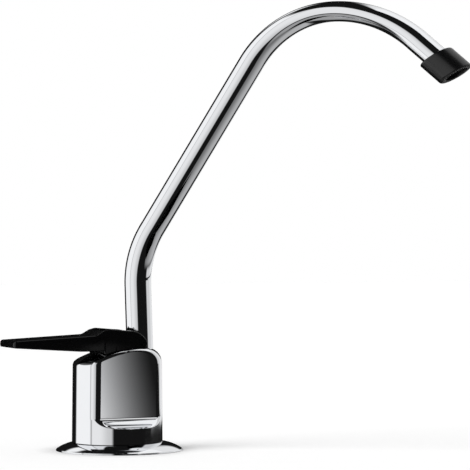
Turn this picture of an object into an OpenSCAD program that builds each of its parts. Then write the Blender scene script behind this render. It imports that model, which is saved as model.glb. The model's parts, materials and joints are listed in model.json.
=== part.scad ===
// Drinking water filter tap: a lever valve on a threaded shank, with a long swivel spout.
// The deck is at z = 0, the valve's axis is the Z axis, and the lever points along -X.
// All lengths are in millimetres and all angles are in degrees.

/* [Body] */
// Diameter of the body at its foot
body_d = 35.8; // [34:0.2:40]
// Diameter of the body where its top edge starts to round
body_top_d = 35.2; // [34:0.2:36]
// Height of the body's flat top above the deck
body_top = 40.4; // [40:0.1:42]
// Distance from the valve's axis back to the middle of the crown's dome
crown_back = 12; // [8:0.5:14]
// Height of the crown's dome over its middle
crown_top = 42.4; // [42:0.1:43]
// Radius of the crown's dome
crown_r = 60; // [54:1:90]
// Radius of the rounded top edge
edge_r = 6; // [4:0.5:9]
// Distance across the two side panels
across_flats = 23.4; // [23:0.2:26]
// Height at which the side panels start
panel_bottom = 13.4; // [11:0.2:20]
// Depth of the cove under each side panel
cove_w = 6.6; // [5:0.2:8]
// Height of the cove under each side panel
cove_h = 3.8; // [3:0.2:4.8]
// Thickness of the wall between the valve chamber and the spout's socket
socket_wall = 1; // [0.8:0.1:1.2]

/* [Base plate] */
// Diameter of the base plate
plate_d = 50; // [44:1:60]
// Height of the plate's flat top above the deck
plate_h = 3.4; // [3:0.1:4]
// Thickness of the plate's sheet
plate_t = 1; // [0.6:0.1:1.4]
// Diameter of the plate's flat top
plate_flat_d = 32; // [26:1:36]
// Height of the plate's rim
plate_rim = 0.5; // [0.3:0.1:1]
// Diameter of the hole in the plate, wide enough for the plate to slide
plate_hole_d = 13.4; // [13:0.1:15]
// Distance that the loose plate has slid back from the valve's axis
plate_slide = 0.85; // [0:0.05:0.9]

/* [Shank and deck clamp] */
// Diameter of the threaded shank
shank_d = 11.1; // [10.5:0.1:11.5]
// Length of the shank below the deck
shank_len = 52; // [48:1:70]
// Length of the shank that is screwed into the body
shank_engage = 6.5; // [5:0.5:8]
// Length of plain shank below the deck, above the thread
plain_len = 10; // [6:1:16]
// Pitch of the shank's thread
thread_pitch = 1.06; // [0.8:0.02:1.5]
// Depth of the shank's thread
thread_depth = 0.5; // [0.3:0.05:0.6]
// Diameter of the water way through the shank
water_way_d = 4.6; // [3:0.1:5.5]
// Diameter of the inlet socket at the shank's lower end
inlet_d = 6.6; // [6:0.1:7.2]
// Depth of the inlet socket
inlet_depth = 14; // [8:1:20]
// Thickness of the worktop that the clamp is set for
deck_t = 18; // [8:1:20]
// Diameter of the clamp's plastic washer
deck_washer_d = 30; // [26:1:36]
// Thickness of the clamp's plastic washer
deck_washer_t = 4; // [2:0.5:6]
// Diameter of the lock washer
lock_washer_d = 19; // [17:0.5:22]
// Thickness of the lock washer
lock_washer_t = 1; // [0.6:0.1:1.6]
// Number of teeth on the lock washer
lock_teeth = 12; // [8:1:16]
// Size of the clamp nut across its flats
nut_af = 17; // [15:0.5:22]
// Thickness of the clamp nut
nut_t = 6; // [4:0.5:8]
// Size of the inlet nut across its flats
inlet_nut_af = 15; // [14:0.5:18]
// Length of the inlet nut
inlet_nut_len = 14; // [12:1:18]
// Length of the ferrule
ferrule_len = 5; // [4:0.5:6]
// Thickness of the seal on top of the shank
seal_t = 0.8; // [0.5:0.1:0.9]
// Width of the shank's bevelled ends
shank_bevel = 0.8; // [0.4:0.1:1]

/* [Valve] */
// Diameter of the valve stem
stem_d = 5; // [4.6:0.1:5.2]
// Diameter of the valve chamber
chamber_d = 8.5; // [8:0.1:8.7]
// Height of the seat's lip above the shank's top
seat_lip = 1; // [0.9:0.1:1.2]
// Width of the seat's lip
lip_w = 0.9; // [0.6:0.1:1.2]
// Thickness of the rubber seat washer
seat_washer_t = 2.2; // [1.5:0.1:3]
// Diameter of the nub that holds the seat washer
nub_d = 2.4; // [2:0.1:3]
// Thickness of the seat washer under the nub
washer_floor = 0.7; // [0.5:0.1:1]
// Thickness of the flange at the stem's foot
stem_flange_t = 1; // [0.8:0.1:1.5]
// Length of the fitted valve spring
spring_len = 5.6; // [5:0.1:6.4]
// Diameter of the spring's wire
spring_wire = 0.6; // [0.4:0.05:0.7]
// Number of turns of the spring
spring_turns = 4; // [3:1:4]
// Length of the stem guide
guide_len = 4; // [3.4:0.1:4.2]
// Thickness of the guide's lip outside the stem's seal
guide_lip = 0.5; // [0.4:0.1:0.6]
// Height of the groove for the stem's seal
seal_groove_h = 1.4; // [1.3:0.1:1.6]
// Diameter of the water port between the chamber and the spout
port_d = 3.6; // [2.5:0.1:3.8]

/* [Lever] */
// Height of the lever's pivot bar above the deck
pivot_z = 38.8; // [38.4:0.1:39.2]
// Diameter of the pivot bar
bar_d = 2.5; // [2:0.1:2.8]
// Distance from the pivot bar forward to the rib that the lever rocks on
fulcrum_reach = 6.5; // [6.2:0.1:7]
// Radius of the rocking rib
rib_r = 1.2; // [1:0.1:1.4]
// Reach of the lever's tip from the valve's axis
lever_reach = 45.8; // [38:0.1:55]
// Width of the lever
lever_w = 18.4; // [17.6:0.2:18.8]
// Thickness of the lever's tip
tip_t = 2.7; // [2:0.1:4]
// Height of the top of the lever's tip
tip_top = 44; // [43.4:0.1:46]
// Height of the blade's top where the hump starts
blade_top = 45.7; // [45:0.1:46.4]
// Height of the blade's underside at its root
blade_bottom = 39.5; // [39.4:0.1:40.2]
// Distance from the valve's axis forward to the blade's root
blade_root = 18.5; // [18:0.5:24]
// Height of the hump
hump_top = 48.1; // [47:0.1:49]
// Distance from the valve's axis forward to the foot of the hump
hump_front = 11.9; // [11:0.1:13]
// Distance from the valve's axis forward to the top of the hump
hump_back = 6.3; // [5:0.1:6.5]
// Thickness of each arm beside the spout
arm_t = 3.2; // [3:0.1:3.4]
// Radius of the arms' rounded back
arm_back_r = 8; // [7.5:0.1:8.4]
// Height of the centre of the arms' rounded back
arch_z = 39.4; // [39.2:0.1:39.6]
// Distance from the valve's axis back to the centre of the arms' rounded back
arch_back = 1.6; // [1.2:0.1:1.8]
// Angle at which the arms' rounded back ends, from the front
arch_end = 157; // [150:1:160]
// Distance from the valve's axis back to the corner of the heel
heel_back = 9.4; // [9.2:0.1:9.6]
// Height of the corner of the heel
heel_z = 42.6; // [42:0.1:43]
// Distance from the valve's axis forward to the front of the arms' lower ends
arm_front = 3.3; // [3:0.1:3.6]
// Depth of the hub's underside below the pivot bar's axis
hub_drop = 0.8; // [0.5:0.1:1]
// Room in front of the rocking rib
ledge_room = 1.1; // [0.9:0.1:1.4]
// Depth of the arms below the pivot bar
arm_drop = 3; // [2.6:0.1:3.2]
// Angle that the lever flips up through
flip_range = 60; // [40:1:60]
// Depth of the pivot bar's ends below the lever's sides
bar_inset = 1; // [0.8:0.1:1.4]
// Radius of the corners at the lever's tip
tip_corner = 1.2; // [1:0.1:4]

/* [Spout] */
// Diameter of the spout tube
tube_d = 10.6; // [10:0.1:11]
// Wall thickness of the spout tube
tube_wall = 0.9; // [0.6:0.1:1.2]
// Distance from the valve's axis back to the spout's swivel axis
spout_back = 9.5; // [9.4:0.1:9.8]
// Angle that the spout is swivelled to
spout_turn = -45.5; // [-180:0.5:180]
// Backward lean of the tube's upright above the crown
tube_lean = 2; // [0:0.1:3]
// Height at which the lower bend starts
upright_top = 64.9; // [55:0.1:90]
// Centre line radius of the lower bend
lower_bend_r = 38.7; // [25:0.1:60]
// Angle of the lower bend
lower_bend = 35.2; // [20:0.1:45]
// Length of the straight slope
slope_len = 77.4; // [50:0.1:110]
// Centre line radius of the rising half of the upper bend
rise_bend_r = 40.9; // [25:0.1:60]
// Centre line radius of the falling half of the upper bend
fall_bend_r = 50.7; // [25:0.1:60]
// Angle of the spout's end below the horizontal
outlet_fall = 40.6; // [20:0.1:90]
// Length of the straight end
end_len = 16.6; // [12:0.1:30]
// Share of the tube's thickness that is left where it runs level
tube_flatness = 0.735; // [0.7:0.005:1]
// Diameter of the outlet cap
cap_d = 13; // [12.6:0.1:16]
// Length of the outlet cap
cap_len = 10.8; // [10:0.1:16]
// Slant of the outlet cap's two ends
cap_slant = 19; // [0:1:24]
// Length of tube inside the outlet cap
cap_grip = 7; // [5:0.1:7]
// Diameter of the outlet's mouth
mouth_d = 8.6; // [6:0.1:9]
// Length of the spigot that plugs into the body
spigot_len = 6.6; // [6:0.1:7]
// Diameter of the spigot's bore
spigot_bore_d = 4.8; // [4:0.1:5]
// Thickness of the spigot's shoulder
shoulder_t = 1; // [0.8:0.1:1.4]
// Length of the spigot's neck inside the tube
neck_len = 8; // [5:0.5:12]
// Thickness of the spigot's rubber rings
o_ring_t = 1.2; // [1:0.1:1.3]
// Distance between the spigot's rubber rings
groove_pitch = 2.6; // [2:0.1:3]

/* [Clearances] */
// Radial play of a running fit
run_gap = 0.05; // [0.02:0.01:0.1]
// Play between parts that pass without touching
free_gap = 0.3; // [0.2:0.05:0.4]
// End play under the spout's shoulder
end_play = 0.1; // [0.05:0.05:0.2]
// Radial play of a thread in its nut
nut_gap = 0.05; // [0.02:0.01:0.1]
// Radial play of the washers on the shank
washer_gap = 0.25; // [0.1:0.05:0.5]
// Radial play of the pivot bar in the stem's eye
eye_play = 0.25; // [0.2:0.05:0.3]
// Play between each side of the lever and its pocket
side_play = 0.5; // [0.3:0.1:0.5]

/* [Hidden] */
$fn = 96;

// The stack of the valve, from the deck up
foot_z = plate_h;
shank_top = foot_z + shank_engage;
chamber_floor = shank_top + seal_t;
seat_z = shank_top + seat_lip;
flange_z = seat_z + seat_washer_t;
spring_z = flange_z + stem_flange_t;
guide_z = spring_z + spring_len;
chamber_top = guide_z + guide_len;
stem_top = pivot_z + stem_d / 2;
eye_d = bar_d + 2 * eye_play;
flange_d = chamber_d - 4 * free_gap;
nub_len = seat_washer_t - washer_floor;
guide_groove_d = chamber_d - 2 * guide_lip;

// The spout's socket beside the valve chamber
socket_z = chamber_top + socket_wall;
shoulder_z = socket_z + end_play;
tube_z = shoulder_z + shoulder_t;
spigot_z = shoulder_z - spigot_len;
spigot_d = 2 * spout_back - chamber_d - 2 * socket_wall - 2 * run_gap;
groove_w = o_ring_t + 4 * run_gap;
spigot_grooves = [for (side = [-1, 1]) spigot_z + (spigot_len + side * groove_pitch) / 2];
port_z = spring_z + port_d / 2;

// The pocket in the crown that the lever's arms turn in
arm_inner = lever_w / 2 - arm_t;
pocket_w = lever_w + 2 * side_play;
pocket_r = norm([heel_back, heel_z - pivot_z]) + free_gap;
arm_bottom = pivot_z - arm_drop;
pocket_front = norm([arm_front, arm_drop]) + free_gap;
ledge_front = fulcrum_reach + rib_r + ledge_room;
ledge_z = pivot_z - rib_r - free_gap;

// The lever's outline, as distances forward of the valve's axis and heights
hub_bottom = pivot_z - hub_drop;
slot_front = fulcrum_reach - rib_r - run_gap;
tube_front = spout_back - tube_d / 2 - 3 * free_gap;
heel_cut = [2, 2.4];
hump_cut = [2.4, 0.6];
hub_slope = 1;
bar_len = lever_w - 2 * bar_inset;
bar_snap = 0.88 * bar_d;

// Points of an arc about a centre, between two angles
function arc(c, r, a, b, n = 16) = [for (i = [0:n]) c + r * [cos(a + (b - a) * i / n), sin(a + (b - a) * i / n)]];

// A cylinder across the tap, along the Y axis
module cross_bar(x, z, r, w) {
    translate([x, w / 2, z]) rotate([90, 0, 0]) cylinder(r = r, h = w);
}

// A side outline of [distance forward, height] points, carried across the tap
module side_plate(points, w) {
    translate([0, w / 2, 0]) rotate([90, 0, 0]) linear_extrude(w) mirror([1, 0]) polygon(points);
}

// A flat ring
module ring(z, outer_d, inner_d, h) {
    translate([0, 0, z]) difference() {
        cylinder(d = outer_d, h = h);
        translate([0, 0, -1]) cylinder(d = inner_d, h = h + 2);
    }
}

// A round rubber ring
module o_ring(z, mean_d, t) {
    translate([0, 0, z]) rotate_extrude() translate([mean_d / 2, 0]) circle(d = t, $fn = 32);
}

// The six-sided bar that nuts are cut from
module hex_bar(z, af, h) {
    translate([0, 0, z]) cylinder(d = af / cos(30), h = h, $fn = 6);
}

// Round blank of the body, with its top edge rounded
module body_blank() {
    top_r = body_top_d / 2;
    rotate_extrude() polygon(concat(
        [[0, foot_z], [body_d / 2, foot_z]],
        arc([top_r - edge_r, body_top - edge_r], edge_r, 0, 90),
        [[0, body_top]]
    ));
}

// Cutter for one side panel, with its cove
module panel_cut() {
    far = body_d;
    flat = across_flats / 2;
    cove_r = (cove_w * cove_w + cove_h * cove_h) / (2 * cove_h);
    cove_start = 180 + atan((cove_r - cove_h) / cove_w);
    rotate([90, 0, -90]) translate([0, 0, -far]) linear_extrude(2 * far) polygon(concat(
        [[far, far + body_top], [flat, far + body_top]],
        arc([flat + cove_w, panel_bottom - cove_h + cove_r], cove_r, cove_start, 270),
        [[far, panel_bottom - cove_h]]
    ));
}

// Pocket and rocking ledge in the crown
module lever_pocket() {
    high = body_top;
    intersection() {
        union() {
            cross_bar(0, pivot_z, pocket_r, pocket_w);
            translate([-pocket_r, -pocket_w / 2, pivot_z]) cube([2 * pocket_r, pocket_w, high]);
        }
        translate([-pocket_front, -pocket_w, 0]) cube([2 * body_d, 2 * pocket_w, 2 * high]);
    }
    translate([-ledge_front, -pocket_w / 2, ledge_z]) cube([ledge_front, pocket_w, high]);
}

// Cast body with the valve chamber, the spout's socket and the lever's pocket
module body() color("silver") difference() {
    intersection() {
        body_blank();
        translate([crown_back, 0, crown_top - crown_r]) sphere(crown_r);
    }
    panel_cut();
    mirror([0, 1, 0]) panel_cut();
    lever_pocket();
    translate([0, 0, foot_z - 1]) cylinder(d = shank_d + 2 * nut_gap, h = chamber_floor - foot_z + 1);
    cylinder(d = chamber_d, h = chamber_top);
    cylinder(d = stem_d + 2 * free_gap, h = 2 * body_top);
    translate([spout_back, 0, port_z - port_d / 2]) cylinder(d = spigot_d + 2 * run_gap, h = body_top);
    translate([spout_back, 0, socket_z]) cylinder(d = tube_d + 2 * free_gap, h = body_top);
    translate([0, 0, port_z]) rotate([0, 90, 0]) cylinder(d = port_d, h = spout_back);
}

// Domed base plate of sheet metal, open underneath
module base_plate() {
    run = (plate_d - plate_flat_d) / 2;
    drop = plate_h - plate_rim;
    dome_r = (run * run + drop * drop) / (2 * drop);
    centre = [plate_flat_d / 2, plate_h - dome_r];
    inner_r = dome_r - plate_t;
    hole_r = plate_hole_d / 2;
    color("silver") translate([plate_slide, 0, 0]) rotate_extrude() polygon(concat(
        [[hole_r, plate_h - plate_t], [hole_r, plate_h]],
        arc(centre, dome_r, 90, asin((plate_rim - centre[1]) / dome_r)),
        [[plate_d / 2, 0]],
        arc(centre, inner_r, asin(-centre[1] / inner_r), 90)
    ));
}

// Rubber gasket that fills the plate's flat top down to the deck
module base_gasket() color("dimgray") translate([plate_slide, 0, 0])
    ring(0, plate_flat_d, plate_hole_d, plate_h - plate_t);

// One side of a thread, from its upper end down: a groove and a flat crest in each pitch
function thread_side(r, top, bottom) =
    let (n = floor((top - bottom) / thread_pitch), crest = thread_pitch / 8)
    [for (i = [0:n - 1])
        for (q = [[thread_pitch / 2, thread_depth], [thread_pitch - crest, 0], [thread_pitch, 0]])
        [r - q[1], top - i * thread_pitch - q[0]]];

// Threaded shank with the valve seat on its top and the inlet socket in its lower end
module shank() {
    r = shank_d / 2;
    thread_r = r - nut_gap;
    seat_r = water_way_d / 2;
    bottom = -shank_len;
    color("goldenrod") difference() {
        rotate_extrude() polygon(concat(
            [[0, seat_z], [seat_r + lip_w / 2, seat_z], [seat_r + lip_w, shank_top]],
            [[thread_r - shank_bevel / 2, shank_top], [thread_r, shank_top - shank_bevel], [thread_r, 0]],
            [[r, 0], [r, -plain_len], [thread_r, -plain_len]],
            thread_side(thread_r, -plain_len, bottom + shank_bevel + thread_pitch),
            [[thread_r, bottom + shank_bevel], [thread_r - shank_bevel, bottom], [0, bottom]]
        ));
        translate([0, 0, -shank_len - 1]) cylinder(r = seat_r, h = shank_len + seat_z + 2);
        translate([0, 0, -shank_len - 1]) cylinder(d = inlet_d, h = inlet_depth + 1);
    }
}

// Flat seal between the shank's top and the body
module shank_seal() color("dimgray") ring(shank_top, shank_d - shank_bevel, chamber_d, seal_t);

// Plastic washer against the underside of the worktop
module deck_washer() color("black")
    ring(-deck_t - deck_washer_t, deck_washer_d, shank_d + 2 * washer_gap, deck_washer_t);

// Toothed lock washer
module lock_washer() {
    z = -deck_t - deck_washer_t - lock_washer_t;
    notch = 1.6;
    color("gainsboro") difference() {
        ring(z, lock_washer_d, shank_d + 2 * washer_gap, lock_washer_t);
        for (i = [0:lock_teeth - 1]) rotate(i * 360 / lock_teeth) translate([lock_washer_d / 2, 0, z - 1])
            cylinder(d = notch, h = lock_washer_t + 2, $fn = 24);
    }
}

// A six-sided nut with bevelled corners
module bevelled_hex(z, af, h) {
    bevel = 1;
    r = af / 2;
    intersection() {
        hex_bar(z, af, h);
        translate([0, 0, z]) rotate_extrude() polygon([
            [0, 0], [r, 0], [r + 2 * bevel, bevel], [r + 2 * bevel, h - bevel], [r, h], [0, h]
        ]);
    }
}

// Clamp nut under the lock washer
module clamp_nut() {
    z = -deck_t - deck_washer_t - lock_washer_t - nut_t;
    color("goldenrod") difference() {
        bevelled_hex(z, nut_af, nut_t);
        translate([0, 0, z - 1]) cylinder(d = shank_d + 2 * nut_gap, h = nut_t + 2);
    }
}

// Ferrule that grips the supply tube below the shank
module inlet_ferrule() {
    slope = 1.2;
    outer_r = shank_d / 2 - slope;
    bore_r = inlet_d / 2 + run_gap;
    color("goldenrod") translate([0, 0, -shank_len - ferrule_len]) rotate_extrude() polygon([
        [bore_r, 0], [outer_r - slope / 2, 0], [outer_r, slope], [outer_r, ferrule_len], [bore_r, ferrule_len]
    ]);
}

// Nut that draws the ferrule up against the shank
module inlet_nut() {
    bottom = -shank_len - ferrule_len;
    floor_t = 2;
    z = bottom - floor_t;
    color("goldenrod") difference() {
        bevelled_hex(z, inlet_nut_af, inlet_nut_len);
        translate([0, 0, bottom]) cylinder(d = shank_d + 2 * nut_gap, h = inlet_nut_len);
        translate([0, 0, z - 1]) cylinder(d = inlet_d + 2 * run_gap, h = floor_t + 2);
    }
}

// Stem with the eye for the pivot bar, the spring's flange and the washer's nub
module valve_stem() {
    color("goldenrod") difference() {
        union() {
            translate([0, 0, flange_z - nub_len]) cylinder(d = nub_d, h = nub_len + stem_flange_t);
            translate([0, 0, flange_z]) cylinder(d = flange_d, h = stem_flange_t);
            translate([0, 0, flange_z]) cylinder(d = stem_d, h = stem_top - flange_z);
        }
        cross_bar(0, pivot_z, eye_d / 2, 2 * stem_d);
    }
}

// Rubber washer that closes on the seat
module seat_washer() color("dimgray") difference() {
    translate([0, 0, seat_z]) cylinder(d = flange_d, h = seat_washer_t);
    translate([0, 0, flange_z - nub_len - run_gap]) cylinder(d = nub_d + 2 * run_gap, h = seat_washer_t);
}

// Spring that closes the valve: a round wire on a helix
module valve_spring() {
    rings_per_turn = 12;
    sides = 6;
    mean_r = (stem_d + chamber_d) / 4;
    n = spring_turns * rings_per_turn;
    rise = spring_len - spring_wire;
    function wire_point(i, k) =
        let (a = 360 * i / rings_per_turn, b = 360 * k / sides, r = mean_r + spring_wire / 2 * cos(b))
        [r * cos(a), r * sin(a), spring_z + spring_wire / 2 + rise * i / n + spring_wire / 2 * sin(b)];
    color("gainsboro") polyhedron(
        points = [for (i = [0:n]) for (k = [0:sides - 1]) wire_point(i, k)],
        faces = concat(
            [for (k = [1:sides - 2]) [0, k, k + 1]],
            [for (k = [1:sides - 2]) [n * sides, n * sides + k + 1, n * sides + k]],
            [for (i = [0:n - 1]) for (k = [0:sides - 1])
                [i * sides + k, (i + 1) * sides + k, i * sides + (k + 1) % sides]],
            [for (i = [0:n - 1]) for (k = [0:sides - 1])
                [i * sides + (k + 1) % sides, (i + 1) * sides + k, (i + 1) * sides + (k + 1) % sides]]
        )
    );
}

// Bush that guides the stem and holds its seal
module stem_guide() color("ivory") difference() {
    ring(guide_z, chamber_d - 2 * run_gap, stem_d + 2 * run_gap, guide_len);
    translate([0, 0, guide_z + (guide_len - seal_groove_h) / 2]) cylinder(d = guide_groove_d, h = seal_groove_h);
}

// Rubber ring that seals the stem
module stem_o_ring() {
    inner_d = stem_d + 2 * run_gap;
    outer_d = guide_groove_d - 2 * run_gap;
    color("dimgray") o_ring(guide_z + guide_len / 2, (inner_d + outer_d) / 2, (outer_d - inner_d) / 2);
}

// Bar through the stem's eye that the lever hangs on
module pivot_bar() color("gainsboro") cross_bar(0, pivot_z, bar_d / 2, bar_len);

// Side outline of the lever: blade, hump, arched back and heel
function lever_outline() = concat(
    [[lever_reach, tip_top - tip_t], [lever_reach, tip_top], [hump_front, blade_top]],
    [[hump_back + hump_cut[0], hump_top - hump_cut[1]], [hump_back, hump_top]],
    arc([-arch_back, arch_z], arm_back_r, 90, arch_end),
    [[-heel_back, heel_z], [heel_cut[0] - heel_back, arm_bottom + heel_cut[1]]],
    [[2 * heel_cut[0] - heel_back, arm_bottom], [arm_front, arm_bottom]],
    [[arm_front + hub_slope, hub_bottom], [ledge_front - side_play, hub_bottom], [ledge_front, blade_bottom]],
    [[blade_root, blade_bottom]]
);

// Plan outline of the lever, with rounded corners at its tip
function lever_plan() = concat(
    [[-lever_reach, -lever_w / 2]],
    arc([lever_reach - tip_corner, tip_corner - lever_w / 2], tip_corner, -90, 0, 8),
    arc([lever_reach - tip_corner, lever_w / 2 - tip_corner], tip_corner, 0, 90, 8),
    [[-lever_reach, lever_w / 2]]
);

// Room between the lever's arms for the stem and for the spout at the end of the flip
function lever_slot() =
    let (slant = tan(flip_range), z = pivot_z + (slot_front + tube_front / cos(flip_range)) / slant)
    let (far = 2 * body_top)
    [[-far, 0], [slot_front, 0], [slot_front, z], [slot_front + slant * far, z + far], [-far, z + far]];

// Moulded lever that straddles the spout
module lever() color("black") difference() {
    union() {
        intersection() {
            side_plate(lever_outline(), lever_w);
            mirror([1, 0, 0]) linear_extrude(2 * body_top) polygon(lever_plan());
        }
        cross_bar(-fulcrum_reach, pivot_z, rib_r, bar_len);
    }
    side_plate(lever_slot(), 2 * arm_inner);
    cross_bar(0, pivot_z, bar_d / 2 + run_gap, bar_len + 2 * run_gap);
    translate([-bar_snap / 2, -bar_len / 2 - run_gap, arm_bottom - 1])
        cube([bar_snap, bar_len + 2 * run_gap, arm_drop + 1]);
}

// Places a part on the spout's swivel axis, turned with the spout
module on_swivel() translate([spout_back, 0, 0]) rotate(spout_turn) children();

// The spout's centre line: [distance out, height, heading from upright, share of thickness]
tube_sides = 20;
bend_step = 6;
lean_h = -tube_lean;
lean_start = [0, body_top + 1];
slope_h = lean_h + lower_bend;
end_h = 90 + outlet_fall;
function ahead(p, h, d) = p + d * [sin(h), cos(h)];
function bend_centre(p, h, r) = p + r * [cos(h), -sin(h)];
function bend_point(c, r, h) = c + r * [-cos(h), sin(h)];
function squeeze(h) = norm([cos(h), tube_flatness * sin(h)]);
upright_end = ahead(lean_start, lean_h, upright_top - lean_start[1]);
lower_c = bend_centre(upright_end, lean_h, lower_bend_r);
slope_start = bend_point(lower_c, lower_bend_r, slope_h);
slope_end = ahead(slope_start, slope_h, slope_len);
rise_c = bend_centre(slope_end, slope_h, rise_bend_r);
crest = bend_point(rise_c, rise_bend_r, 90);
fall_c = bend_centre(crest, 90, fall_bend_r);
fall_end = bend_point(fall_c, fall_bend_r, end_h);
outlet = ahead(fall_end, end_h, end_len);
function bend_stations(c, r, a, b) =
    let (n = ceil((b - a) / bend_step))
    [for (i = [0:n]) let (h = a + (b - a) * i / n, p = bend_point(c, r, h)) [p[0], p[1], h, squeeze(h)]];
spout_line = concat(
    [[0, tube_z, 0, 1], [lean_start[0], lean_start[1], lean_h / 2, 1]],
    bend_stations(lower_c, lower_bend_r, lean_h, slope_h),
    bend_stations(rise_c, rise_bend_r, slope_h, 90),
    [for (s = bend_stations(fall_c, fall_bend_r, 90, end_h)) if (s[2] > 90) s],
    [[outlet[0], outlet[1], end_h, squeeze(end_h)]]
);

// Bent tube: round where it stands upright, and flatter the more level it runs
module spout_tube() {
    sides = tube_sides;
    n = len(spout_line);
    function wall_point(s, r, k) =
        let (a = 360 * k / sides, d = r * s[3] * cos(a))
        [s[0] + d * cos(s[2]), r * sin(a), s[1] - d * sin(s[2])];
    function skin(first, flip) = [for (i = [0:n - 2]) for (k = [0:sides - 1]) for (half = [0, 1])
        let (a = first + i * sides + k, b = first + i * sides + (k + 1) % sides, c = a + sides, d = b + sides,
             tri = half == 0 ? [a, b, c] : [b, d, c])
        flip ? [tri[0], tri[2], tri[1]] : tri];
    function rim(outer, inner, flip) = [for (k = [0:sides - 1]) for (half = [0, 1])
        let (a = outer + k, b = outer + (k + 1) % sides, c = inner + k, d = inner + (k + 1) % sides,
             tri = half == 0 ? [a, b, c] : [b, d, c])
        flip ? [tri[0], tri[2], tri[1]] : tri];
    inner = n * sides;
    last = (n - 1) * sides;
    color("silver") on_swivel() polyhedron(
        points = concat(
            [for (s = spout_line) for (k = [0:sides - 1]) wall_point(s, tube_d / 2, k)],
            [for (s = spout_line) for (k = [0:sides - 1]) wall_point(s, tube_d / 2 - tube_wall, k)]
        ),
        faces = concat(skin(0, false), skin(inner, true), rim(0, inner, true), rim(last, inner + last, false))
    );
}

// Spigot fixed in the tube's lower end, which turns in the body's socket
module spout_spigot() {
    neck_d = (tube_d - 2 * tube_wall) * cos(180 / tube_sides) - 2 * run_gap;
    groove_d = spigot_d - 2 * o_ring_t + 2 * run_gap;
    color("goldenrod") on_swivel() difference() {
        union() {
            translate([0, 0, spigot_z]) cylinder(d = spigot_d, h = spigot_len);
            translate([0, 0, shoulder_z]) cylinder(d = tube_d, h = shoulder_t);
            translate([0, 0, shoulder_z]) cylinder(d = neck_d, h = shoulder_t + neck_len);
        }
        translate([0, 0, spigot_z - 1]) cylinder(d = spigot_bore_d, h = 2 * body_top);
        for (z = spigot_grooves) ring(z - groove_w / 2, 2 * spigot_d, groove_d, groove_w);
    }
}

// Two rubber rings that seal the spigot
module spout_o_rings() color("dimgray") on_swivel()
    for (z = spigot_grooves) o_ring(z, spigot_d - o_ring_t + 2 * run_gap, o_ring_t - run_gap);

// Soft cap over the tube's end, with both ends cut on a slant
module outlet_cap() {
    far = 2 * cap_len;
    lip = cap_len - cap_grip;
    color("black") on_swivel() translate([outlet[0], 0, outlet[1]]) rotate([0, end_h, 0]) difference() {
        intersection() {
            translate([0, 0, -far]) cylinder(d = cap_d, h = 2 * far);
            rotate([0, cap_slant, 0]) translate([-cap_d, -cap_d, -cap_grip * cos(cap_slant)])
                cube([2 * cap_d, 2 * cap_d, (cap_grip + lip) * cos(cap_slant)]);
        }
        translate([0, 0, -far]) cylinder(d = tube_d + 2 * run_gap, h = far);
        translate([0, 0, -1]) cylinder(d = mouth_d, h = far);
    }
}

body();
base_plate();
base_gasket();
shank();
shank_seal();
deck_washer();
lock_washer();
clamp_nut();
inlet_ferrule();
inlet_nut();
valve_stem();
seat_washer();
valve_spring();
stem_guide();
stem_o_ring();
pivot_bar();
lever();
spout_tube();
spout_spigot();
spout_o_rings();
outlet_cap();
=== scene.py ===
"""Looks of a drinking water filter tap: fine surfaces, finishes and a white studio around its frame."""

import json
import math

import bmesh
import bpy
import numpy as np
from bpy.props import FloatProperty, FloatVectorProperty, IntProperty, PointerProperty
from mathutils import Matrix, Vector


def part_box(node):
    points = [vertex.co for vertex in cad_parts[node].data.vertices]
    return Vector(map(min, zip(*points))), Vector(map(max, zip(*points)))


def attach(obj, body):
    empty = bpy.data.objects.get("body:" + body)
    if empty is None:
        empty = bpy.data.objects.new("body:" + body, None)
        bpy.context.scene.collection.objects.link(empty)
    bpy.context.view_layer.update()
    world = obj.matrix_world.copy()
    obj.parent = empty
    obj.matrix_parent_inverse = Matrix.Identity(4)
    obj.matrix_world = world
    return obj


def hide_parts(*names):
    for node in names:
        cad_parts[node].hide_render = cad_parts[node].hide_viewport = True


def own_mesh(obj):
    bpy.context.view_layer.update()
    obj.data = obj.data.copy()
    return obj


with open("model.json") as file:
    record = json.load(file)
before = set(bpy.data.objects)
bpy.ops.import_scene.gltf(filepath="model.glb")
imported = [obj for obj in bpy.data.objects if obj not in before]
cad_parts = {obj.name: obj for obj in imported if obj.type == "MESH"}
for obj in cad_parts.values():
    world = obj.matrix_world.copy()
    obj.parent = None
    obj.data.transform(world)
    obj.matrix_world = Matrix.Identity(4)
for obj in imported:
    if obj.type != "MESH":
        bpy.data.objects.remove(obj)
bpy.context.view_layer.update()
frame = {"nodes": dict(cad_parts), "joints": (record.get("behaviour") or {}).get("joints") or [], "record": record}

bl_info = {
    "name": "Drinking water filter tap",
    "version": (1, 0, 0),
    "blender": (4, 5, 0),
    "location": "View3D > Sidebar > Tap",
    "description": "Builds the visible pieces of a drinking water filter tap around its frame",
    "category": "Object",
}

MM = 0.001
SCREEN_POWER = 2.2
JOINTS = {joint["name"]: joint for joint in frame["joints"]}
NODE_SLOT = {part["node"]: part["material_slot"] for part in frame["record"]["subparts"]}
NODE_BODY = {
    node: body for body, nodes in frame["record"]["behaviour"]["bodies"].items() for node in nodes
}


def low(node):
    """Lowest corner of a frame node, in metres."""
    return np.array(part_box(node)[0])


def high(node):
    """Highest corner of a frame node, in metres."""
    return np.array(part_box(node)[1])


def span(node):
    """Size of a frame node along X, Y and Z, in metres."""
    return high(node) - low(node)


def heights(node):
    """Heights of a frame node's lowest and highest points, in metres."""
    return low(node)[2], high(node)[2]


def radius_of(node):
    """Radius of a round frame node, in metres."""
    return span(node)[0] / 2


def length(name, description, metres):
    """A length that the user can change."""
    return FloatProperty(name=name, description=description, default=metres, unit="LENGTH", precision=5)


def angle(name, description, degrees):
    """An angle that the user can change."""
    return FloatProperty(name=name, description=description, default=math.radians(degrees), subtype="ANGLE")


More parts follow.
